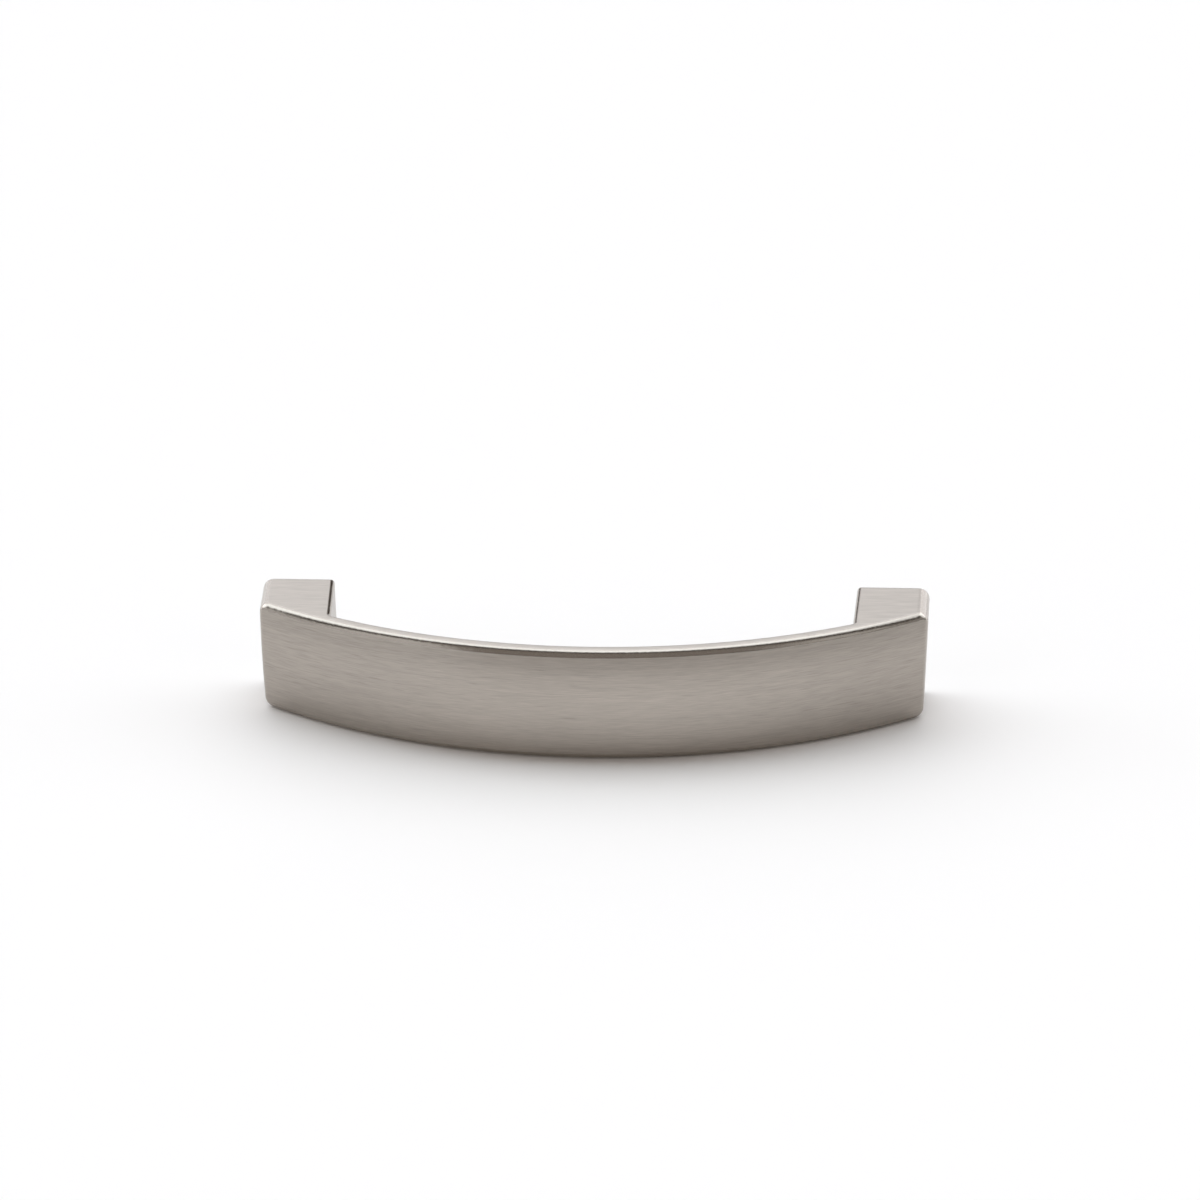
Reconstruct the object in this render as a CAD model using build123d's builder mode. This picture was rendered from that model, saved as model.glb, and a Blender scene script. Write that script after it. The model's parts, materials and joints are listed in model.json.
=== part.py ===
from build123d import *
import os
from math import radians, sqrt, tan

# A bow-shaped cabinet pull, cast in one piece. All sizes are in millimetres.
# The mounting plane is y = 0, the bowed face looks toward -Y and Z runs across the height of the grip.

# Overall shape
hole_spacing = 96.0
foot_width = 11.6
grip_height = 18.6
projection = 27.3
end_projection = 11.2
bow_thickness = 3.7
face_crown = 1.25
draft_angle = 5.2

# Rounded edges
end_edge_radius = 1.8
face_edge_radius = 1.3
gap_edge_radius = 0.9
gap_corner_radius = 1.0
back_edge_radius = 0.3

# Screw holes for an M4 machine screw
screw_diameter = 4.0
thread_root_clearance = 0.05
mouth_chamfer = 0.35
mouth_angle = 90.0
wall_ahead_of_hole = 4.0
drill_point_angle = 118.0

# Shape of the bow: the arc through the two front corners and the middle of the face
side_angle = 90 - draft_angle
foot_outer_x = (hole_spacing + foot_width) / 2
foot_inner_x = (hole_spacing - foot_width) / 2
corner_x = foot_outer_x - end_projection * tan(radians(draft_angle))
bow_rise = projection - end_projection
bow_radius = (corner_x**2 + bow_rise**2) / (2 * bow_rise)
bow_axis_y = bow_radius - projection
gap_radius = bow_radius - bow_thickness
half_height = grip_height / 2
crown_radius = (half_height**2 + face_crown**2) / (2 * face_crown)

# Depth of metal on the line of each screw, and the blind hole that fits in it
hole_radius = screw_diameter / 2 + thread_root_clearance
drill_point_height = hole_radius / tan(radians(drill_point_angle / 2))
depth_at_hole = sqrt(bow_radius**2 - (hole_spacing / 2) ** 2) - bow_axis_y
hole_depth = depth_at_hole - wall_ahead_of_hole - drill_point_height

with BuildPart() as pull:
    # Blank: a block with drafted ends that reaches well past the face
    with BuildSketch():
        Trapezoid(
            2 * foot_outer_x,
            2 * projection,
            side_angle,
            rotation=180,
            align=(Align.CENTER, Align.MIN),
        )
    extrude(amount=half_height, both=True)

    # Upper and lower edges of both end faces
    ends = pull.faces().sort_by(Axis.X)
    end_edges = [face.edges().sort_by(Axis.Z)[i] for face in (ends[0], ends[-1]) for i in (0, -1)]
    fillet(end_edges, end_edge_radius)

    # The face curves along the bow and is slightly crowned from top to bottom, like the side of a barrel
    with BuildSketch(Plane.YZ):
        with Locations((crown_radius - projection, 0)):
            Circle(crown_radius)
        with Locations((bow_axis_y, 0)):
            Rectangle(
                2 * bow_radius,
                2 * grip_height,
                align=(Align.MAX, Align.CENTER),
                mode=Mode.INTERSECT,
            )
    revolve(axis=Axis((0, bow_axis_y, 0), (0, 0, 1)), mode=Mode.INTERSECT)

    # Finger gap behind the bow, with drafted sides that leave a foot at each end
    with BuildSketch():
        with Locations((0, bow_axis_y)):
            Circle(gap_radius)
        Trapezoid(
            2 * foot_inner_x,
            projection,
            side_angle,
            rotation=180,
            align=(Align.CENTER, Align.MIN),
            mode=Mode.INTERSECT,
        )
        fillet(vertices().group_by(Axis.Y)[0], gap_corner_radius)
    extrude(amount=grip_height, both=True, mode=Mode.SUBTRACT)
    gap_edges = pull.edges(Select.LAST).group_by(Axis.Z)
    fillet(gap_edges[0] + gap_edges[-1], gap_edge_radius)

    # Rim of the curved face
    fillet(pull.faces().sort_by(Axis.Y)[0].edges(), face_edge_radius)

    # Rims of the two flat feet
    fillet(pull.faces().group_by(Axis.Y)[-1].edges(), back_edge_radius)

    # Blind screw holes in the feet, with an eased mouth and a drill point
    with Locations(Plane(origin=(0, 0, 0), x_dir=(1, 0, 0), z_dir=(0, 1, 0))):
        with GridLocations(hole_spacing, 0, 2, 1):
            CounterSinkHole(
                hole_radius,
                hole_radius + mouth_chamfer,
                depth=hole_depth,
                counter_sink_angle=mouth_angle,
            )
            with Locations((0, 0, -hole_depth)):
                Cone(
                    0,
                    hole_radius,
                    drill_point_height,
                    align=(Align.CENTER, Align.CENTER, Align.MAX),
                    mode=Mode.SUBTRACT,
                )

pull.part.label = "pull"
os.makedirs("parts", exist_ok=True)
export_step(pull.part, "parts/pull.step")
print("volume mm3", round(pull.part.volume, 1))
print("bounding box", pull.part.bounding_box())
print("bow radius", round(bow_radius, 2), "hole depth", round(hole_depth, 2))
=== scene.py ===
# %% [markdown]
# # A bow-shaped cabinet pull in brushed nickel
#
# The object is one casting: a wide strip bent into a shallow bow, with a square foot at each end and a
# tapped hole in each foot. Its shape comes ready from the solid model, so this lesson is about three
# things: the brushed metal finish, the screw threads inside the feet, and a light that lets satin metal
# read as metal.

# %% Load the solid model
import json
from math import cos, pi, radians, sin, sqrt

import bpy
from mathutils import Matrix, Vector


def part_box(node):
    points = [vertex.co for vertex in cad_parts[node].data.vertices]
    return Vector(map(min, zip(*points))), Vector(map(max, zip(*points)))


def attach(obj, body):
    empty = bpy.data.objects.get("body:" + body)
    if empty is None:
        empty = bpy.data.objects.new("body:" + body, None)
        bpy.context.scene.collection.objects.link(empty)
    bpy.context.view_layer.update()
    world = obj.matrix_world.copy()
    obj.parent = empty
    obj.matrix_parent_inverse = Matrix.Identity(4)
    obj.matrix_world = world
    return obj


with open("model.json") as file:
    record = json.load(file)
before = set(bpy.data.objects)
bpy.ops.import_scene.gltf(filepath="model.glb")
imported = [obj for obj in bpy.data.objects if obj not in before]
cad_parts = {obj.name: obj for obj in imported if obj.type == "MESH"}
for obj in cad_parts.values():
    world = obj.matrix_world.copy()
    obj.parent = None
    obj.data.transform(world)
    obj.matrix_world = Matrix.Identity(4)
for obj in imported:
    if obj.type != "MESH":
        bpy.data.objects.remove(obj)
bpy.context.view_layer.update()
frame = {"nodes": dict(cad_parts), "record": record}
MM = 0.001
pull = frame["nodes"]["pull"]
lowest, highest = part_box("pull")
print("pull spans", [round(v / MM, 2) for v in lowest], "to", [round(v / MM, 2) for v in highest], "mm")

# %% [markdown]
# ## Colour management
#
# Blender's usual view bends bright colours towards a film look. The Standard view shows a colour about as it
# is written, which makes it easy to compare the render with a photograph on a white page.

# %% Use the Standard view
scene = bpy.context.scene
scene.view_settings.view_transform = "Standard"
print("view transform:", scene.view_settings.view_transform)

# %% [markdown]
# ## Camera
#
# The pull lies on its lower side and is seen from the front, a little from above and slightly from the
# right. A camera can be placed by hand in the viewport, but here its azimuth, elevation, roll, distance
# and focal length were worked out from the outline in the photograph, so they are written down as named
# values. The aim point does not fall in the middle of the picture: a small lens shift puts it where the
# photo has it.

# %% Place the camera
PHOTO_SIZE = 1200
SENSOR_WIDTH = 36.0
AIM_POINT = Vector((0, -12 * MM, 0))
AIM_PIXEL = (591.5, 666.2)
CAMERA_AZIMUTH = radians(3.06)
CAMERA_ELEVATION = radians(26.0)
CAMERA_ROLL = radians(-0.41)
CAMERA_DISTANCE = 427.3 * MM
FOCAL_PIXELS = 2693.8
NEAREST_SEEN = 10 * MM


def camera_axes(azimuth, elevation, roll):
    """Right, up and backward directions of a camera that looks at the front of the pull from above."""
    back = Vector((sin(azimuth) * cos(elevation), -cos(azimuth) * cos(elevation), sin(elevation)))
    right = Vector((0, 0, 1)).cross(back).normalized()
    up = back.cross(right)
    return cos(roll) * right + sin(roll) * up, cos(roll) * up - sin(roll) * right, back


right, up, back = camera_axes(CAMERA_AZIMUTH, CAMERA_ELEVATION, CAMERA_ROLL)
camera_data = bpy.data.cameras.new("photo_camera")
camera_data.sensor_width = SENSOR_WIDTH
camera_data.lens = FOCAL_PIXELS / PHOTO_SIZE * SENSOR_WIDTH
camera_data.shift_x = (PHOTO_SIZE / 2 - AIM_PIXEL[0]) / PHOTO_SIZE
camera_data.shift_y = (AIM_PIXEL[1] - PHOTO_SIZE / 2) / PHOTO_SIZE
camera_data.clip_start = NEAREST_SEEN
camera = bpy.data.objects.new("photo_camera", camera_data)
scene.collection.objects.link(camera)
place = Matrix((right, up, back)).transposed().to_4x4()
place.translation = AIM_POINT + back * CAMERA_DISTANCE
camera.matrix_world = place
scene.camera = camera
print("focal length", round(camera_data.lens, 1), "mm, camera at", [round(v, 3) for v in place.translation])

# %% [markdown]
# ## Helpers for node trees
#
# Shaders and geometry nodes can be wired by hand in the node editor. Here they are built in the script, so
# that every value has a name. One small function adds a node, sets its options and fills its inputs, either
# with a plain value or with the output of another node. A few short forms cover what comes up again and
# again: a sum, a soft threshold, and a blend of numbers or colours.


# %% Add one node
def add(tree, kind, inputs=None, **options):
    """Add a node to a tree; inputs maps a socket's name or index to a value or an output socket."""
    node = tree.nodes.new(kind)
    for name, value in options.items():
        setattr(node, name, value)
    for key, value in (inputs or {}).items():
        if isinstance(value, bpy.types.NodeSocket):
            tree.links.new(value, node.inputs[key])
        else:
            node.inputs[key].default_value = value
    return node


print("node helper ready")


# %% Short forms for sums and blends
def calc(tree, operation, a, b=0.0, c=0.0):
    """One Math node; a, b and c are numbers or output sockets."""
    return add(tree, "ShaderNodeMath", {0: a, 1: b, 2: c}, operation=operation).outputs[0]


def smooth_step(tree, value, start, end, low=0.0, high=1.0):
    """Map a value from low to high between start and end, easing at both."""
    inputs = {"Value": value, 1: start, 2: end, 3: low, 4: high}
    return add(tree, "ShaderNodeMapRange", inputs, interpolation_type="SMOOTHSTEP").outputs[0]


def mix(tree, share, first, second):
    """Blend two numbers: the first where share is 0, the second where it is 1."""
    return add(tree, "ShaderNodeMix", {0: share, 2: first, 3: second}).outputs[0]


def mix_colour(tree, share, first, second, blend_type="MIX"):
    """Blend two colours: the first where share is 0, the second where it is 1."""
    inputs = {0: share, 6: first, 7: second}
    return add(tree, "ShaderNodeMix", inputs, data_type="RGBA", blend_type=blend_type).outputs[2]


def shaded(tree, colour, tone):
    """A colour made lighter or darker: tone is added to a brightness of 1."""
    return mix_colour(tree, 1.0, colour, calc(tree, "ADD", tone, 1.0), "MULTIPLY")


print("short forms ready")

# %% [markdown]
# ## Grain of the brushed finish
#
# A brushed finish is thousands of short fine scratches that run almost, but not exactly, one way. Noise
# stretched along that way makes them: slow along the grain and fast across it. Two sets that lean a little
# to either side cross each other at a shallow angle, as the strokes of a belt do. Broader streaks, where the
# belt dwelt, and a few deeper scratches are kept apart, because each shows in the metal in its own way.
# A node group holds them all, so that each side of the pull can use it with coordinates of its own.

# %% Build the grain group
FINE_LINE = 0.12 * MM
FINE_LENGTH = 3.4 * MM
FINE_LEAN = (radians(1.6), radians(-3.0))
FINE_DETAIL = 2.0
STREAK = 0.6 * MM
STREAK_LENGTH = 40 * MM
STREAK_DETAIL = 3.0
SCRATCH = 0.22 * MM
SCRATCH_LENGTH = 4 * MM
SCRATCH_DETAIL = 0.0
SCRATCH_LEVEL = (0.70, 0.80)
# How far each set is moved along the noise, so that no two look alike
FINE_SHIFT = tuple(7.0 * lean for lean in FINE_LEAN)
STREAK_SHIFT = 11.0
SCRATCH_SHIFT = 23.0


def grain_group():
    """Group that turns coordinates along and across the grain, in metres, into its lines and marks."""
    group = bpy.data.node_groups.new("brushed grain", "ShaderNodeTree")
    group.interface.new_socket(name="Grain coordinates", in_out="INPUT", socket_type="NodeSocketVector")
    for name in ("Fine lines", "Streaks", "Scratches"):
        group.interface.new_socket(name=name, in_out="OUTPUT", socket_type="NodeSocketFloat")
    source = add(group, "NodeGroupInput").outputs[0]
    sink = add(group, "NodeGroupOutput")

    def stretched_noise(length, width, detail, lean, shift):
        turned = add(group, "ShaderNodeMapping", {"Vector": source, "Rotation": (0.0, 0.0, lean)}).outputs[0]
        scale = (1 / length, 1 / width, 1 / width)
        moved = {"Vector": turned, "Scale": scale, "Location": (shift, 0.0, 0.0)}
        stretched = add(group, "ShaderNodeMapping", moved).outputs[0]
        noise = add(group, "ShaderNodeTexNoise", {"Vector": stretched, "Scale": 1.0, "Detail": detail})
        return noise.outputs["Fac"]

    leaning = [
        stretched_noise(FINE_LENGTH, FINE_LINE, FINE_DETAIL, lean, shift)
        for lean, shift in zip(FINE_LEAN, FINE_SHIFT)
    ]
    fine = calc(group, "MULTIPLY", calc(group, "ADD", *leaning), 0.5)
    streaks = stretched_noise(STREAK_LENGTH, STREAK, STREAK_DETAIL, 0.0, STREAK_SHIFT)
    marks = stretched_noise(SCRATCH_LENGTH, SCRATCH, SCRATCH_DETAIL, FINE_LEAN[0], SCRATCH_SHIFT)
    group.links.new(fine, sink.inputs["Fine lines"])
    group.links.new(streaks, sink.inputs["Streaks"])
    group.links.new(smooth_step(group, marks, *SCRATCH_LEVEL), sink.inputs["Scratches"])
    return group


grain = grain_group()
print("grain group has", len(grain.nodes), "nodes")

# %% [markdown]
# ## Brushed nickel: where each finish lies
#
# The plating is a warm grey nickel. The face was brushed along the bow, the flat upper and lower sides along
# their length, and the ends and the inner walls of the feet from front to back. Only what looks back at the
# door is hard for a belt to reach: there the plating is duller, and its grain is faint.
#
# A mask can be painted by hand, or kept in a vertex group, but here the place and the surface normal
# already say which side a point is on. The bow's face is nearly a piece of a cylinder, so its coordinates
# are arc length, height and radius about the bow's axis.

# %% Coordinates that follow the bow
BOW_RADIUS = 94.57 * MM
BOW_AXIS_Y = lowest.y + BOW_RADIUS

nickel = bpy.data.materials.new("brushed_nickel")
nickel.use_nodes = True
tree = nickel.node_tree
point = add(tree, "ShaderNodeTexCoord").outputs["Object"]
x, y, z = add(tree, "ShaderNodeSeparateXYZ", {0: point}).outputs
normal = add(tree, "ShaderNodeNewGeometry").outputs["Normal"]
normal_x, normal_y, normal_z = add(tree, "ShaderNodeSeparateXYZ", {0: normal}).outputs
from_axis = calc(tree, "SUBTRACT", BOW_AXIS_Y, y)
angle = calc(tree, "ARCTAN2", x, from_axis)
arc = calc(tree, "MULTIPLY", angle, BOW_RADIUS)
radius = calc(tree, "SQRT", calc(tree, "MULTIPLY_ADD", x, x, calc(tree, "MULTIPLY", from_axis, from_axis)))
print("bow's axis at y =", round(BOW_AXIS_Y / MM, 2), "mm")

# %% Masks for the sides, the ends, the back and the rims
# Each pair is the part of the normal, along one axis, at which a mask begins and at which it is full
SIDE_TURN = (0.6, 0.9)
END_TURN = (0.75, 0.95)
BACK_TURN = (0.25, 0.6)
RIM_TURN = (0.26, 0.42)
RIM_STOP = (0.98, 0.93)

upward = calc(tree, "ABSOLUTE", normal_z)
sideways = calc(tree, "ABSOLUTE", normal_x)
on_side = smooth_step(tree, upward, *SIDE_TURN)
on_end = smooth_step(tree, sideways, *END_TURN)
on_back = smooth_step(tree, normal_y, *BACK_TURN)
on_rim = calc(tree, "MULTIPLY", smooth_step(tree, upward, *RIM_TURN), smooth_step(tree, upward, *RIM_STOP))
on_rim = calc(tree, "MULTIPLY", on_rim, calc(tree, "SUBTRACT", 1.0, on_back))
print("masks use", len(tree.nodes), "nodes so far")


# %% Grain on each side
def grain_along(*coordinates):
    """Outputs of the grain group where the first coordinate runs along the grain."""
    where = add(tree, "ShaderNodeCombineXYZ", dict(enumerate(coordinates))).outputs[0]
    return add(tree, "ShaderNodeGroup", {0: where}, node_tree=grain).outputs


face_grain = grain_along(arc, z, radius)
side_grain = grain_along(x, y, z)
end_grain = grain_along(y, z, x)


def grain_here(name):
    """One of the grain's outputs, taken from the side that the point is on."""
    face_or_side = mix(tree, on_side, face_grain[name], side_grain[name])
    return mix(tree, on_end, face_or_side, end_grain[name])


fine, streaks, scratches = (grain_here(name) for name in ("Fine lines", "Streaks", "Scratches"))
print("with the grain there are", len(tree.nodes), "nodes")

# %% [markdown]
# ## Brushed nickel: colour, gloss and bump
#
# Up close each fine line differs a little in brightness. Broader streaks and faint clouds lie over the
# lines. The middle of the face is painted a touch brighter and its ends a touch darker: a painted highlight
# and painted shade. The rounded rims were polished by the belt and carry no lines. An image of a real
# surface could give all this, but noise stays sharp from any distance. It adds up to one tone, a small
# number that is added to a brightness of 1.
#
# Satin metal also spreads a highlight across its grain. That is the shader's anisotropy, and its tangent is
# the cross product of the normal and the way the grain runs. A shallow bump breaks up the reflections.

# %% Colour of the plating
NICKEL = (0.425, 0.386, 0.347, 1)
NICKEL_DULL = (0.34, 0.312, 0.285, 1)
# How much lighter or darker each makes the metal
FINE_TONE = 0.75
STREAK_TONE = 0.21
CLOUD_TONE = 0.10
SCRATCH_TONE = 0.10
CAST_TONE = 0.10
# Painted light: the middle of the face is painted lighter by this much, and its ends darker by as much
PAINTED_LIGHT_TONE = 0.05
# Distances from the middle at which the painted highlight begins to turn into painted shade and has turned
PAINTED_LIGHT_REACH = (8 * MM, 50 * MM)
# Share of the grain that shows on the back
BACK_GRAIN = 0.5
# How fine each noise is and how many finer layers it has
CLOUD_SCALE = 45.0
CLOUD_DETAIL = 2.0
CAST_SCALE = 900.0
CAST_DETAIL = 3.0
NOISE_MEAN = 0.5


def mottled(scale, detail):
    """Noise without a direction, for what the belt did not make."""
    noise = add(tree, "ShaderNodeTexNoise", {"Vector": point, "Scale": scale, "Detail": detail})
    return noise.outputs["Fac"]


cloud = mottled(CLOUD_SCALE, CLOUD_DETAIL)
cast = mottled(CAST_SCALE, CAST_DETAIL)
tone = calc(tree, "MULTIPLY", fine, FINE_TONE)
tone = calc(tree, "MULTIPLY_ADD", streaks, STREAK_TONE, tone)
tone = calc(tree, "MULTIPLY_ADD", cloud, CLOUD_TONE, tone)
tone = calc(tree, "MULTIPLY_ADD", scratches, -SCRATCH_TONE, tone)
tone = calc(tree, "SUBTRACT", tone, NOISE_MEAN * (FINE_TONE + STREAK_TONE + CLOUD_TONE))
# Painted highlight in the middle of the face and painted shade at its ends, on the face only
painted_middle_light = smooth_step(tree, calc(tree, "ABSOLUTE", x), *PAINTED_LIGHT_REACH, PAINTED_LIGHT_TONE, -PAINTED_LIGHT_TONE)
tone = calc(tree, "MULTIPLY_ADD", painted_middle_light, calc(tree, "SUBTRACT", 1.0, on_side), tone)
tone = calc(tree, "MULTIPLY", tone, calc(tree, "SUBTRACT", 1.0, on_rim))
cast_tone = calc(tree, "MULTIPLY", calc(tree, "SUBTRACT", cast, NOISE_MEAN), CAST_TONE)
back_tone = calc(tree, "MULTIPLY_ADD", tone, BACK_GRAIN, cast_tone)
colour = mix_colour(tree, on_back, shaded(tree, NICKEL, tone), shaded(tree, NICKEL_DULL, back_tone))
print("with the colour there are", len(tree.nodes), "nodes")

# %% Gloss and bump
BRUSHED_ROUGHNESS = 0.26
STREAK_ROUGHNESS = 0.08
RIM_ROUGHNESS = 0.20
BACK_ROUGHNESS = 0.35
# Heights are shares of the bump's distance
FINE_HEIGHT = 0.6
STREAK_HEIGHT = 0.4
SCRATCH_HEIGHT = 0.5
CAST_HEIGHT = 0.6
BUMP_STRENGTH = 0.25
BUMP_DISTANCE = 0.01 * MM

roughness = calc(tree, "MULTIPLY_ADD", streaks, STREAK_ROUGHNESS, BRUSHED_ROUGHNESS)
roughness = mix(tree, on_rim, roughness, RIM_ROUGHNESS)
roughness = mix(tree, on_back, roughness, BACK_ROUGHNESS)

lines = calc(tree, "MULTIPLY_ADD", fine, FINE_HEIGHT, calc(tree, "MULTIPLY", streaks, STREAK_HEIGHT))
lines = calc(tree, "MULTIPLY_ADD", scratches, -SCRATCH_HEIGHT, lines)
line_depth = calc(tree, "MULTIPLY_ADD", on_back, BACK_GRAIN - 1.0, calc(tree, "SUBTRACT", 1.0, on_rim))
grit = calc(tree, "MULTIPLY", calc(tree, "MULTIPLY", cast, CAST_HEIGHT), on_back)
height = calc(tree, "MULTIPLY_ADD", lines, line_depth, grit)
bump = add(tree, "ShaderNodeBump", {"Strength": BUMP_STRENGTH, "Distance": BUMP_DISTANCE, "Height": height})
print("with gloss and bump there are", len(tree.nodes), "nodes")

# %% Way of the grain, and the finished material
ANISOTROPY = 0.6
ALONG_SIDE = (1.0, 0.0, 0.0)

cosine, sine = calc(tree, "COSINE", angle), calc(tree, "SINE", angle)
along_bow = add(tree, "ShaderNodeCombineXYZ", {0: cosine, 1: sine, 2: 0.0}).outputs[0]
bow_or_side = {0: on_side, 4: along_bow, 5: ALONG_SIDE}
way = add(tree, "ShaderNodeMix", bow_or_side, data_type="VECTOR").outputs[1]
tangent = add(tree, "ShaderNodeVectorMath", {0: normal, 1: way}, operation="CROSS_PRODUCT").outputs[0]

shader = tree.nodes["Principled BSDF"]
shader.inputs["Metallic"].default_value = 1.0
shader.inputs["Anisotropic"].default_value = ANISOTROPY
tree.links.new(colour, shader.inputs["Base Color"])
tree.links.new(roughness, shader.inputs["Roughness"])
tree.links.new(bump.outputs[0], shader.inputs["Normal"])
tree.links.new(tangent, shader.inputs["Tangent"])
pull.material_slots[0].material = nickel
print("brushed nickel has", len(tree.nodes), "nodes")

# %% [markdown]
# ## Metal of the cut thread
#
# A tap cuts through the plating into the bare alloy, so the thread is a little brighter than the face and
# carries fine rings from the cutting edge. Noise that is squeezed along the hole's axis gives those rings,
# and the same noise makes the gloss uneven.

# %% Build the metal of the thread
THREAD_METAL = (0.46, 0.44, 0.42, 1)
RING_SCALE = (300.0, 9000.0, 300.0)
RING_DETAIL = 2.0
RING_TONE = 0.3
RING_DARKEST = -0.15
RING_LEVEL = (0.3, 0.7)
RING_ROUGHNESS = (0.25, 0.4)


def cut_thread():
    """Bare machined alloy with fine rings left by the tap."""
    material = bpy.data.materials.new("cut_thread")
    material.use_nodes = True
    tree = material.node_tree
    shader = tree.nodes["Principled BSDF"]
    point = add(tree, "ShaderNodeTexCoord").outputs["Object"]
    squeezed = add(tree, "ShaderNodeMapping", {"Vector": point, "Scale": RING_SCALE}).outputs[0]
    noise = add(tree, "ShaderNodeTexNoise", {"Vector": squeezed, "Scale": 1.0, "Detail": RING_DETAIL})
    rings = noise.outputs["Fac"]
    tone = calc(tree, "MULTIPLY_ADD", rings, RING_TONE, RING_DARKEST)
    roughness = smooth_step(tree, rings, *RING_LEVEL, *RING_ROUGHNESS)
    shader.inputs["Metallic"].default_value = 1.0
    tree.links.new(shaded(tree, THREAD_METAL, tone), shader.inputs["Base Color"])
    tree.links.new(roughness, shader.inputs["Roughness"])
    return material


thread_metal = cut_thread()
print("metal of the thread has", len(thread_metal.node_tree.nodes), "nodes")

# %% [markdown]
# ## Screw threads
#
# Each foot has a tapped M4 hole for the screw that comes through the door. The solid model has the bare hole
# at the thread's outer radius, so the thread itself is a right-handed ridge that winds along the wall. It
# could be made by hand with the Screw modifier, from a drawn section. Geometry Nodes say the same in a few
# nodes: a spiral curve with a trapezium swept along it, thinned to almost nothing at both ends, and one copy
# in each hole. The sizes are named inputs, so another thread is a matter of other numbers.

# %% Nodes for one ridge
QUARTER_TURN = pi / 2
STEPS_PER_TURN = 36
# Widths of the ridge at the wall and at its crest, as shares of the pitch
ROOT_WIDTH = 7 / 8
CREST_WIDTH = 1 / 4
# Share of the length over which each end thins, and the scale it thins to
FADE_SHARE = 0.06
FADE_SCALE = 0.05


def ridge_on_spiral(tree, given):
    """A ridge that winds right-handed along the Z axis, with its wide side on the wall."""
    half_ridge = calc(tree, "MULTIPLY", given["Ridge height"], 0.5)
    middle = calc(tree, "SUBTRACT", given["Wall radius"], half_ridge)
    # Blender's spiral winds left-handed unless it is reversed
    spiral_sizes = {
        "Resolution": STEPS_PER_TURN,
        "Rotations": calc(tree, "DIVIDE", given["Length"], given["Pitch"]),
        "Start Radius": middle,
        "End Radius": middle,
        "Height": given["Length"],
        "Reverse": True,
    }
    spiral = add(tree, "GeometryNodeCurveSpiral", spiral_sizes).outputs[0]
    # Normals that keep to Z stop the section from twisting on its way
    upright = add(tree, "GeometryNodeSetCurveNormal", {"Curve": spiral}, mode="Z_UP").outputs[0]

    section_sizes = {
        "Bottom Width": calc(tree, "MULTIPLY", given["Pitch"], ROOT_WIDTH),
        "Top Width": calc(tree, "MULTIPLY", given["Pitch"], CREST_WIDTH),
        "Height": given["Ridge height"],
        "Offset": 0.0,
    }
    flat = add(tree, "GeometryNodeCurvePrimitiveQuadrilateral", section_sizes, mode="TRAPEZOID").outputs[0]
    on_wall = {"Geometry": flat, "Rotation": (0.0, 0.0, QUARTER_TURN)}
    section = add(tree, "GeometryNodeTransform", on_wall).outputs[0]

    along = add(tree, "GeometryNodeSplineParameter").outputs["Factor"]
    from_end = calc(tree, "MINIMUM", along, calc(tree, "SUBTRACT", 1.0, along))
    fade = smooth_step(tree, from_end, 0.0, FADE_SHARE, FADE_SCALE, 1.0)
    sweep = {"Curve": upright, "Profile Curve": section, "Scale": fade, "Fill Caps": True}
    return add(tree, "GeometryNodeCurveToMesh", sweep).outputs[0]


print("one turn of the ridge has", STEPS_PER_TURN, "steps")


# %% Nodes for both holes
def thread_tree():
    """Tree that puts one ridge in each of two holes whose axes run along Y."""
    tree = bpy.data.node_groups.new("screw threads", "GeometryNodeTree")
    tree.interface.new_socket(name="Geometry", in_out="OUTPUT", socket_type="NodeSocketGeometry")
    for name in ("Hole spacing", "Wall radius", "Pitch", "Ridge height", "Start depth", "Length"):
        tree.interface.new_socket(name=name, in_out="INPUT", socket_type="NodeSocketFloat")
    tree.interface.new_socket(name="Material", in_out="INPUT", socket_type="NodeSocketMaterial")
    given = add(tree, "NodeGroupInput").outputs
    sink = add(tree, "NodeGroupOutput")

    into_hole = {"Geometry": ridge_on_spiral(tree, given), "Rotation": (QUARTER_TURN, 0.0, 0.0)}
    ridge = add(tree, "GeometryNodeTransform", into_hole).outputs[0]
    left_hole = calc(tree, "MULTIPLY", given["Hole spacing"], -0.5)
    first_turn = calc(tree, "MULTIPLY", given["Start depth"], -1.0)
    start = add(tree, "ShaderNodeCombineXYZ", {0: left_hole, 1: first_turn}).outputs[0]
    step = add(tree, "ShaderNodeCombineXYZ", {0: given["Hole spacing"]}).outputs[0]
    row = {"Count": 2, "Start Location": start, "Offset": step}
    holes = add(tree, "GeometryNodeMeshLine", row).outputs[0]
    copies = add(tree, "GeometryNodeInstanceOnPoints", {"Points": holes, "Instance": ridge}).outputs[0]
    real = add(tree, "GeometryNodeRealizeInstances", {"Geometry": copies}).outputs[0]
    dress = {"Geometry": real, "Material": given["Material"]}
    tree.links.new(add(tree, "GeometryNodeSetMaterial", dress).outputs[0], sink.inputs[0])
    return tree


both_ridges = thread_tree()
print("thread tree has", len(both_ridges.nodes), "nodes")

# %% Cut the threads
THREAD_PITCH = 0.7 * MM
THREAD_DEPTH = 0.40 * MM
THREAD_START = 0.45 * MM
THREAD_LENGTH = 7.2 * MM
# The ridge reaches a little into the wall, so that no gap shows between them
WALL_BITE = 0.01 * MM


def evaluated_mesh(name, tree, values):
    """Run a geometry tree on an empty mesh with the given inputs and return a plain object of the result."""
    holder = bpy.data.objects.new(name, bpy.data.meshes.new(name))
    scene.collection.objects.link(holder)
    modifier = holder.modifiers.new(name, "NODES")
    modifier.node_group = tree
    for item in tree.interface.items_tree:
        if item.in_out == "INPUT":
            modifier[item.identifier] = values[item.name]
    graph = bpy.context.evaluated_depsgraph_get()
    mesh = bpy.data.meshes.new_from_object(holder.evaluated_get(graph))
    holder.modifiers.remove(modifier)
    holder.data = mesh
    return holder


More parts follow.
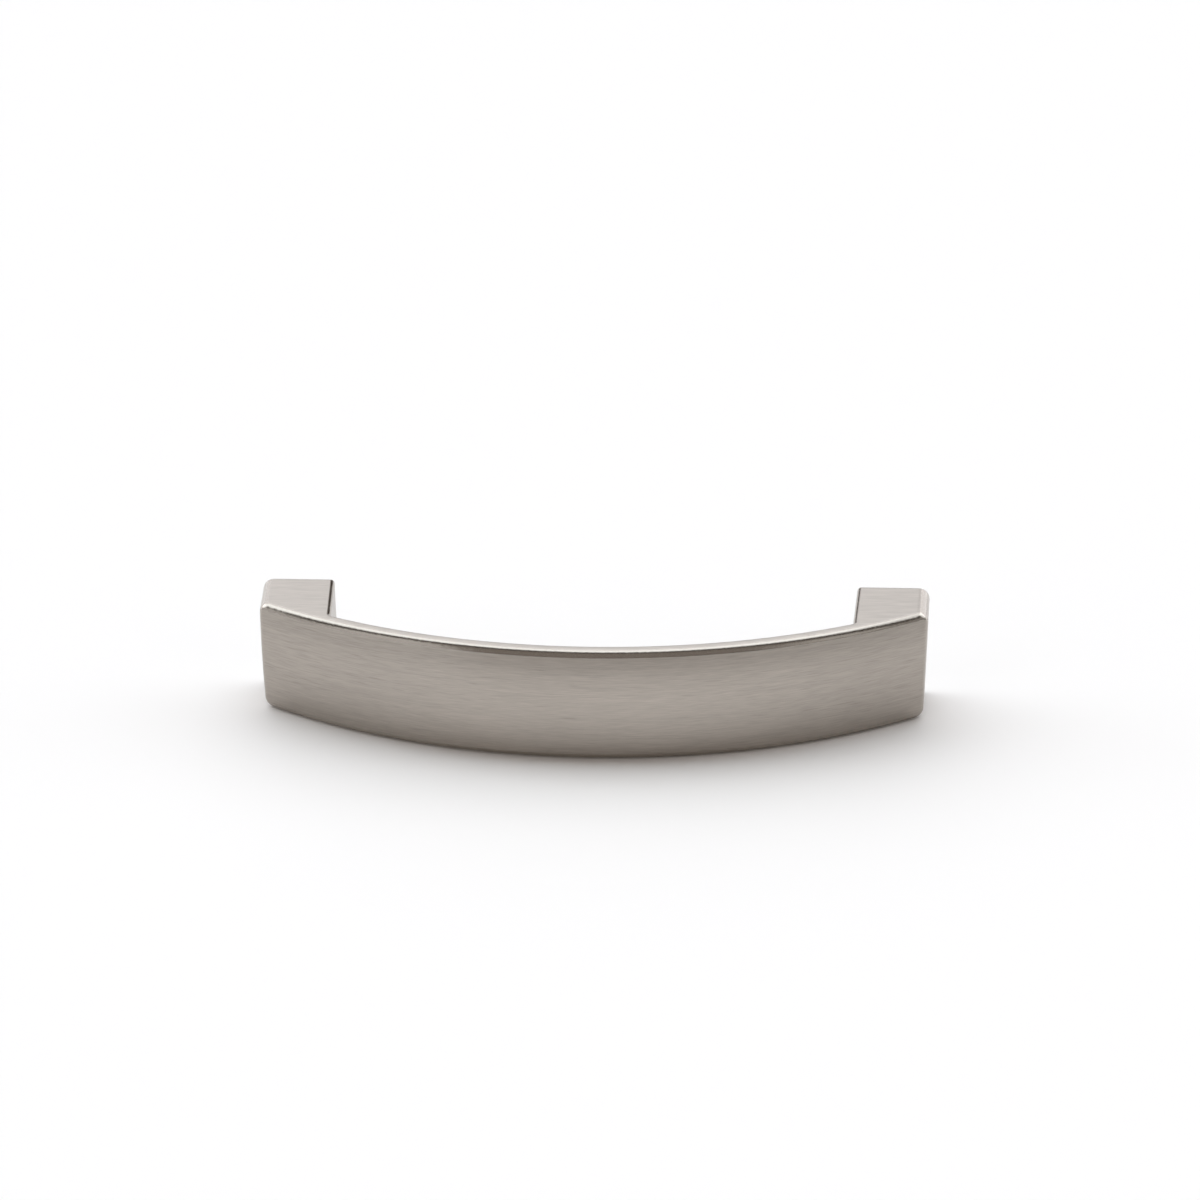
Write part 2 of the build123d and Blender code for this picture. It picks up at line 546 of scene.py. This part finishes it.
screw_mount = next(mount for mount in frame["record"]["mounts"] if mount["name"] == "screw_holes")
hole_spacing = screw_mount["dims"]["spacing_x_mm"] * MM
hole_radius = screw_mount["dims"]["hole_r_mm"] * MM
thread_sizes = {
    "Hole spacing": hole_spacing,
    "Wall radius": hole_radius + WALL_BITE,
    "Pitch": THREAD_PITCH,
    "Ridge height": THREAD_DEPTH,
    "Start depth": THREAD_START,
    "Length": THREAD_LENGTH,
    "Material": thread_metal,
}
threads = evaluated_mesh("screw_threads", both_ridges, thread_sizes)
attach(threads, "root")
print("threads have", len(threads.data.polygons), "faces")

# %% Measure the threads
corners = [vertex.co for vertex in threads.data.vertices]
radii = [sqrt((abs(corner.x) - hole_spacing / 2) ** 2 + corner.z**2) / MM for corner in corners]
depths = [-corner.y / MM for corner in corners]
print("thread radius", round(min(radii), 3), "to", round(max(radii), 3), "mm")
print("thread depth", round(min(depths), 2), "to", round(max(depths), 2), "mm")

# %% [markdown]
# ## Floor
#
# The pull lies on a plain sheet of matt white paper. The face stands upright on it and is seen from above,
# so the sheet is most of what the face mirrors. It keeps the pull's soft shadow, and that shadow, mirrored,
# darkens the foot of the face. A backdrop with a curved sweep would do as well, but one flat sheet is
# enough for a view from above. The paper is a little warm because the light is a little cool: together
# they come out white.

# %% Lay the floor
FLOOR_HALF_WIDTH = 6.0
FLOOR_COLOUR = (0.98, 0.946, 0.925, 1)
FLOOR_ROUGHNESS = 0.9


def white_floor():
    """A wide matt sheet under the lower side of the pull."""
    edge = FLOOR_HALF_WIDTH
    sheet = [(x, y, lowest.z) for x, y in ((-edge, -edge), (edge, -edge), (edge, edge), (-edge, edge))]
    mesh = bpy.data.meshes.new("floor")
    mesh.from_pydata(sheet, [], [(0, 1, 2, 3)])
    floor = bpy.data.objects.new("floor", mesh)
    scene.collection.objects.link(floor)
    material = bpy.data.materials.new("floor_paper")
    material.use_nodes = True
    shader = material.node_tree.nodes["Principled BSDF"]
    shader.inputs["Base Color"].default_value = FLOOR_COLOUR
    shader.inputs["Roughness"].default_value = FLOOR_ROUGHNESS
    shader.inputs["Specular IOR Level"].default_value = 0.0
    mesh.materials.append(material)
    return floor


floor = white_floor()
print("floor at", round(lowest.z / MM, 2), "mm")

# %% [markdown]
# ## Studio light
#
# Satin metal shows its surroundings, so the surroundings are most of the work. Lamps could make them, but
# painting them on the world by direction gives soft sources of an exact brightness and place.
#
# A long softbox hangs above and is dimmer towards the right. Behind the pull stands a white wall that widens
# upwards: the flat upper side mirrors it. Pale screens at the left and the right fade towards the floor,
# and the room in front is dim. The rounded edge of the face mirrors the way from the softbox over a thin
# dark gap to that room: a bright line with a dark one under it.
#
# In the world, x, y and z of a direction run from -1 to 1. Each pair below says where a part's mask begins
# and where it is full, along one of them or as an elevation.

# %% Sizes and colours of the light
SOFTBOX = (2.26, 2.40, 2.50, 1)
SOFTBOX_DIM = (1.50, 1.58, 1.64, 1)
SOFTBOX_FADE = (0.36, 0.54)
SOFTBOX_FRONT = (-0.1, 0.0)
SOFTBOX_BACK = (0.52, 0.38)
SOFTBOX_FOOT = (radians(8), radians(16))
WALL = (1.52, 1.55, 1.62, 1)
WALL_TOP = (0.36, 0.5)
WALL_FOOT = (radians(11), radians(19))
WALL_LEFT = (-1.38, -1.27)
WALL_RIGHT = (1.61, 1.47)
# The wall's side edges lean: each is a line in x plus so much of y
WALL_LEFT_LEAN = -1.05
WALL_RIGHT_LEAN = 1.5
LEFT_SCREEN = (0.90, 0.90, 0.90, 1)
LEFT_SCREEN_EDGE = (-0.40, -0.56)
LEFT_SCREEN_FOOT = (radians(-2), radians(12))
RIGHT_SCREEN = (0.74, 0.73, 0.71, 1)
RIGHT_SCREEN_EDGE = (0.46, 0.70)
RIGHT_SCREEN_FOOT = (radians(6), radians(20))
ROOM = (0.34, 0.31, 0.285, 1)
ROOM_FOOT = (radians(6), radians(22))
SHADE = (0.11, 0.10, 0.09, 1)
GAP = (0.07, 0.053, 0.04, 1)
GAP_FRONT = (-0.46, -0.34)
GAP_LEFT = (-0.95, -0.78)
GAP_RIGHT = (0.95, 0.80)
print("softbox from y =", SOFTBOX_FRONT[0], "to", SOFTBOX_BACK[0])


# %% Paint the light on the world
def studio_world():
    """Dim room, screens at both sides, gap, wall and softbox, each laid over what comes before it."""
    world = bpy.data.worlds.new("studio")
    world.use_nodes = True
    tree = world.node_tree
    direction = add(tree, "ShaderNodeTexCoord").outputs["Generated"]
    x, y, z = add(tree, "ShaderNodeSeparateXYZ", {0: direction}).outputs

    def over(under, upper, *masks):
        """Lay one colour over another where all the masks are 1."""
        mask = masks[0]
        for other in masks[1:]:
            mask = calc(tree, "MULTIPLY", mask, other)
        return mix_colour(tree, mask, under, upper)

    def along(axis, band):
        """0 on one side of a band, 1 on the other."""
        return smooth_step(tree, axis, *band)

    def above(band):
        """0 below a band of elevations, 1 above it."""
        return smooth_step(tree, z, *(sin(elevation) for elevation in band))

    light = over(SHADE, ROOM, above(ROOM_FOOT))
    light = over(light, LEFT_SCREEN, along(x, LEFT_SCREEN_EDGE), above(LEFT_SCREEN_FOOT))
    light = over(light, RIGHT_SCREEN, along(x, RIGHT_SCREEN_EDGE), above(RIGHT_SCREEN_FOOT))
    light = over(light, GAP, along(y, GAP_FRONT), along(x, GAP_LEFT), along(x, GAP_RIGHT))
    wall_left = along(calc(tree, "MULTIPLY_ADD", y, WALL_LEFT_LEAN, x), WALL_LEFT)
    wall_right = along(calc(tree, "MULTIPLY_ADD", y, WALL_RIGHT_LEAN, x), WALL_RIGHT)
    light = over(light, WALL, along(y, WALL_TOP), above(WALL_FOOT), wall_left, wall_right)
    softbox = over(SOFTBOX, SOFTBOX_DIM, along(x, SOFTBOX_FADE))
    light = over(light, softbox, along(y, SOFTBOX_FRONT), along(y, SOFTBOX_BACK), above(SOFTBOX_FOOT))
    tree.links.new(light, tree.nodes["Background"].inputs["Color"])
    return world


scene.world = studio_world()
print("world has", len(scene.world.node_tree.nodes), "nodes")

# %% [markdown]
# ## Side cards
#
# The ends and the outer edges of the feet look sideways. A glowing card on each side gives them something
# bright to mirror, so that they stand out from the face. A mesh that glows would do it too, but an area
# lamp does not show itself to the camera. It is kept off matt surfaces, so the floor stays even, and it
# starts above the floor, so the lowest part of the edge stays dark and draws the outline.

# %% Stand a glowing card at each side
CARD_COLOUR = (0.94, 0.96, 1.0)
CARD_DISTANCE = 85 * MM
CARD_FOOT = 16 * MM
LEFT_CARD_LIGHT = 1.25
LEFT_CARD_LENGTH = 300 * MM
LEFT_CARD_HEIGHT = 26 * MM
RIGHT_CARD_LIGHT = 1.45
RIGHT_CARD_LENGTH = 200 * MM
RIGHT_CARD_HEIGHT = 54 * MM


def side_card(name, side, light, length, tall):
    """A soft card that stands beside the pull and reaches back from it; side is -1 for left, 1 for right."""
    lamp = bpy.data.lights.new(name, "AREA")
    lamp.shape = "RECTANGLE"
    lamp.color = CARD_COLOUR
    lamp.size, lamp.size_y = length, tall
    lamp.energy = light * pi * length * tall
    card = bpy.data.objects.new(name, lamp)
    backward, upward, outward = Vector((0, side, 0)), Vector((0, 0, 1)), Vector((side, 0, 0))
    place = Matrix((backward, upward, outward)).transposed().to_4x4()
    place.translation = (side * CARD_DISTANCE, length / 2, lowest.z + CARD_FOOT + tall / 2)
    card.matrix_world = place
    card.visible_diffuse = False
    scene.collection.objects.link(card)
    return card


left_card = side_card("left_card", -1, LEFT_CARD_LIGHT, LEFT_CARD_LENGTH, LEFT_CARD_HEIGHT)
right_card = side_card("right_card", 1, RIGHT_CARD_LIGHT, RIGHT_CARD_LENGTH, RIGHT_CARD_HEIGHT)
print("card power", round(left_card.data.energy, 4), "and", round(right_card.data.energy, 4), "W")
